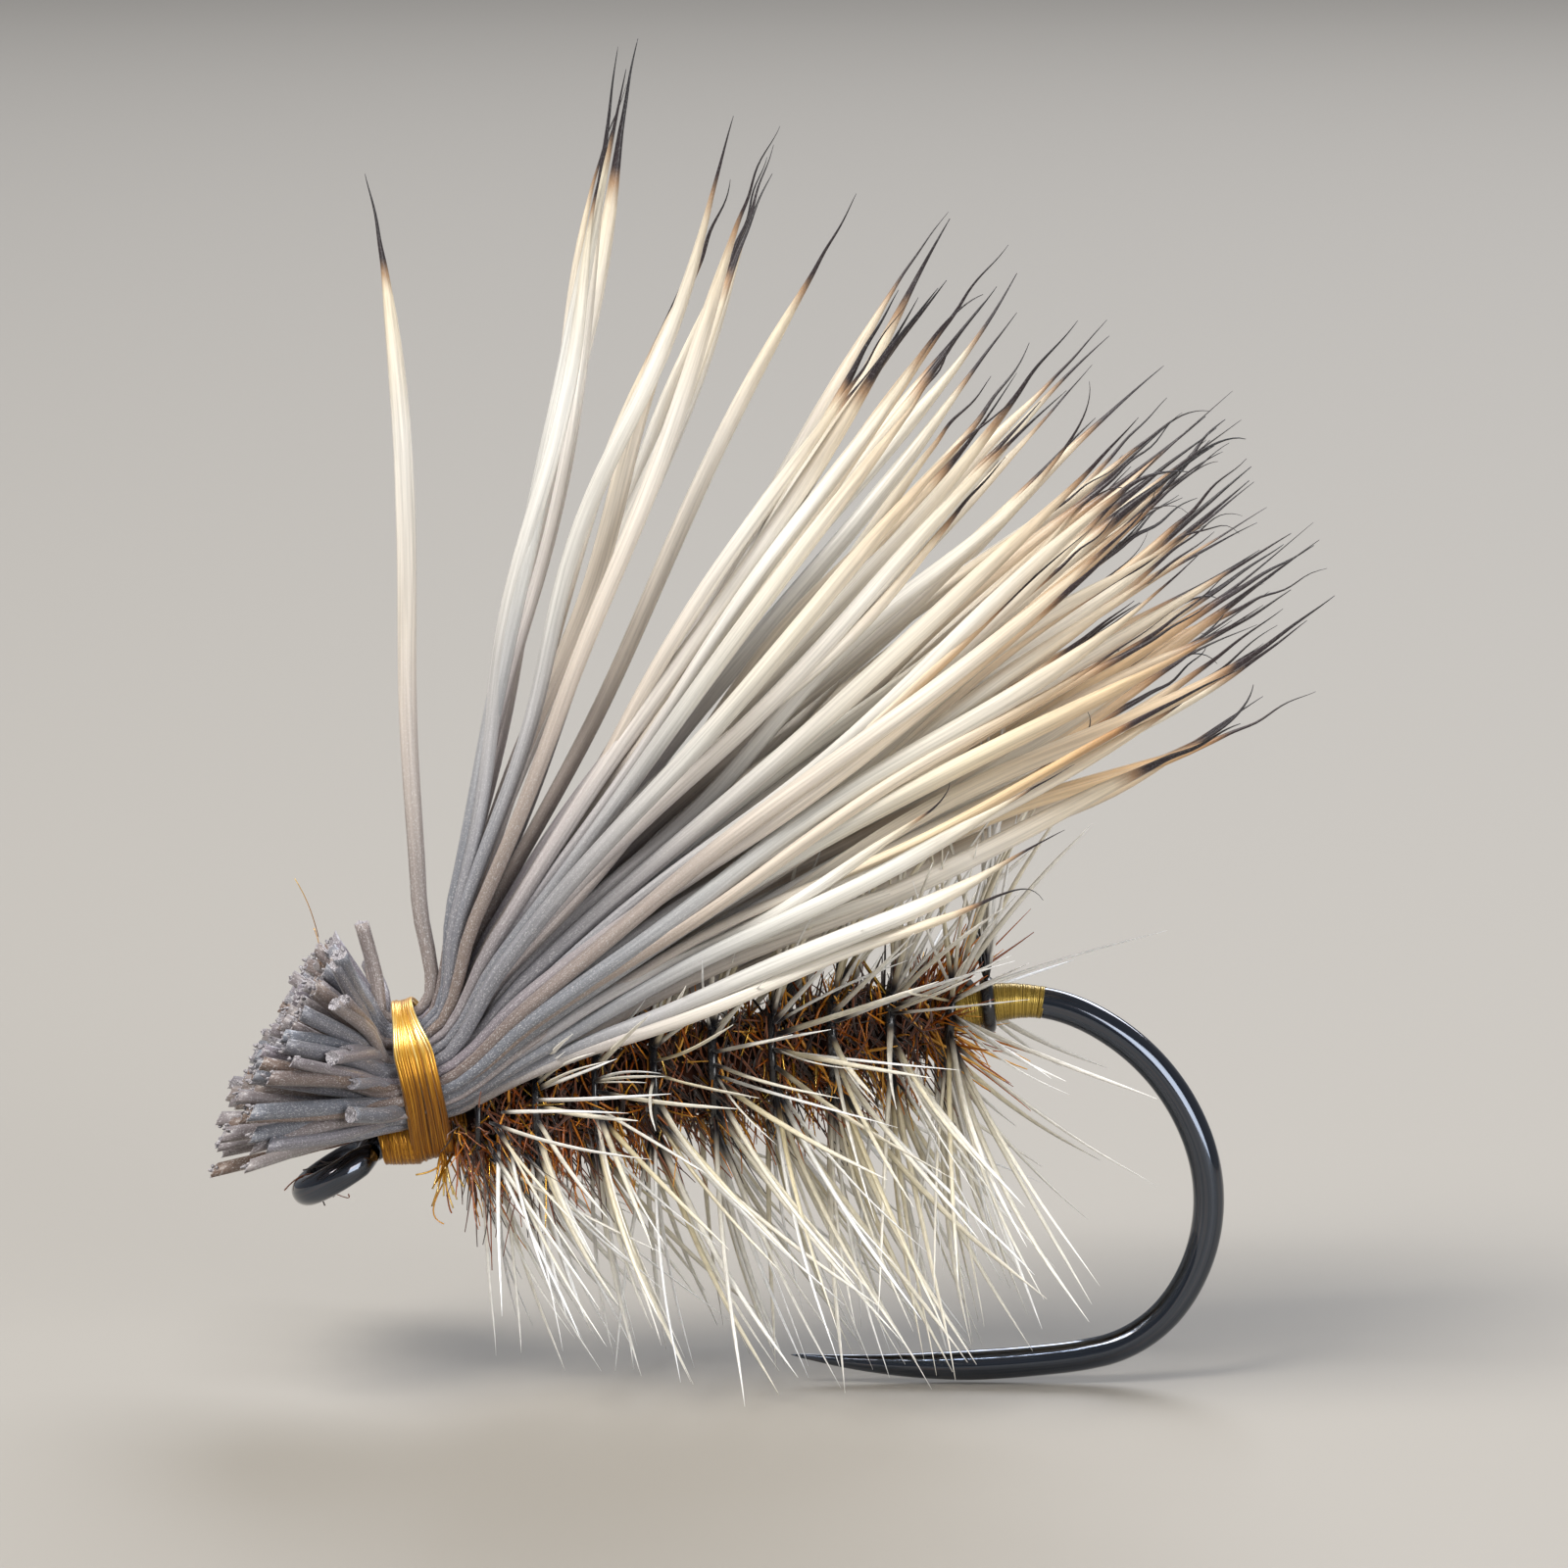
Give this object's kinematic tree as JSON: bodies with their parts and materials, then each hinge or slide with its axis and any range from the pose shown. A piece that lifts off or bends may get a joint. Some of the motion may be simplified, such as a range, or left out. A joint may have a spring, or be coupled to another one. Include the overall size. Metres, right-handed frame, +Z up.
{
  "type": "dry fly",
  "caption": "Dry fishing fly with a flared hair wing, trimmed hair head, dubbed body and wound hackle on a barbless down-eye hook.",
  "frame": {"origin": "on the surface the fly stands on, under the middle of its bounding box", "axes": "+X from the hook's eye to its bend, +Z up, -Y the near side"},
  "size_m": [0.015, 0.0102, 0.0181],
  "materials": {
    "hook_steel": "black nickel, polished",
    "thread_silk": "silky golden brown",
    "dubbing": "rust brown fur with flash",
    "hackle_stem": "glossy black quill",
    "hackle_barb": "cream and ginger, springy",
    "elk_hair": "grey base, cream middle, black tips"
  },
  "bodies": {
    "root": {"hook_eye": "hook_steel", "hook_wire": "hook_steel", "thread_base": "thread_silk", "thread_rear_band": "thread_silk", "thread_collar": "thread_silk", "thread_head_wraps": "thread_silk", "thread_tag": "thread_silk", "dubbing_body": "dubbing", "hackle_stem": "hackle_stem", "hackle_barbs_1": "hackle_barb", "hackle_barbs_2": "hackle_barb", "hackle_barbs_3": "hackle_barb", "hackle_barbs_4": "hackle_barb", "hackle_barbs_5": "hackle_barb", "hackle_barbs_6": "hackle_barb", "hackle_barbs_7": "hackle_barb", "hackle_barbs_8": "hackle_barb", "hackle_barbs_9": "hackle_barb", "wing_row_1": "elk_hair", "wing_row_2": "elk_hair", "wing_row_3": "elk_hair", "wing_row_4": "elk_hair", "wing_row_5": "elk_hair", "wing_row_6": "elk_hair", "wing_row_7": "elk_hair", "wing_row_8": "elk_hair", "wing_row_9": "elk_hair", "wing_row_10": "elk_hair", "wing_row_11": "elk_hair", "wing_row_12": "elk_hair"}
  },
  "joints": []
}
